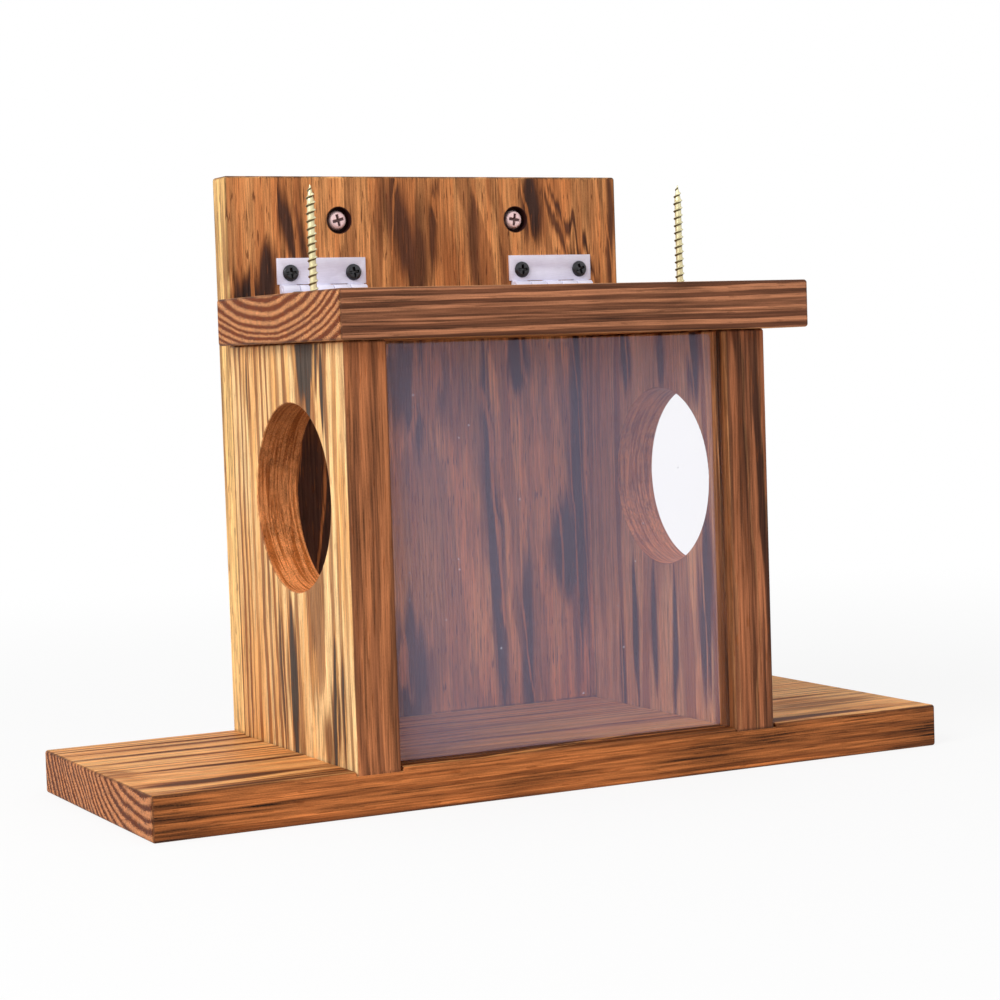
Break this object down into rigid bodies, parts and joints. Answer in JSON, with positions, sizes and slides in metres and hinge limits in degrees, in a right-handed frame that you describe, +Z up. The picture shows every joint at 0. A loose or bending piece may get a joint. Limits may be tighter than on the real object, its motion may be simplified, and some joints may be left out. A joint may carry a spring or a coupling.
{
  "type": "squirrel feeder platform",
  "caption": "Torched pine squirrel feeder: box with round side entries and a clear front window on a wide perch base, with a hinged lid carrying corn screws and a back board to mount it.",
  "frame": {"origin": "centre of the base board's underside", "axes": "+X along the base board to the right seen from the window, +Y to the back board, +Z up"},
  "size_m": [0.33, 0.16, 0.235],
  "materials": {
    "torched_pine": "torched and brushed pine under a thin satin varnish",
    "clear_sheet": "clear acrylic sheet",
    "protective_film": "bluish protective film",
    "hinge_steel": "bright zinc on stamped steel",
    "black_screw": "black phosphate",
    "yellow_zinc": "yellow zinc on steel",
    "plated_screw": "zinc on steel"
  },
  "bodies": {
    "house": {"base_board": "torched_pine", "back_board": "torched_pine", "left_side_board": "torched_pine", "right_side_board": "torched_pine", "back_base_screws": "black_screw", "left_base_screws": "black_screw", "right_base_screws": "black_screw", "left_back_screws": "black_screw", "right_back_screws": "black_screw", "left_hinge_board_leaf": "hinge_steel", "right_hinge_board_leaf": "hinge_steel", "left_hinge_pin": "hinge_steel", "right_hinge_pin": "hinge_steel", "left_hinge_board_screws": "black_screw", "right_hinge_board_screws": "black_screw", "left_mounting_screw": "plated_screw", "right_mounting_screw": "plated_screw"},
    "lid": {"lid_board": "torched_pine", "left_hinge_lid_leaf": "hinge_steel", "right_hinge_lid_leaf": "hinge_steel", "left_hinge_lid_screws": "black_screw", "right_hinge_lid_screws": "black_screw", "left_corn_screw": "yellow_zinc", "right_corn_screw": "yellow_zinc"},
    "window": {"front_window": "clear_sheet", "window_film": "protective_film"}
  },
  "joints": [
    {"name": "lid_hinge", "type": "hinge", "parent": "house", "child": "lid", "pos_m": [0.0033, 0.0453, 0.1897], "axis": [-1, 0, 0], "range_deg": [0, 90]},
    {"name": "window_slide", "type": "slide", "parent": "house", "child": "window", "axis": [0, 0, 1], "range_m": [0, 0.0012]}
  ]
}
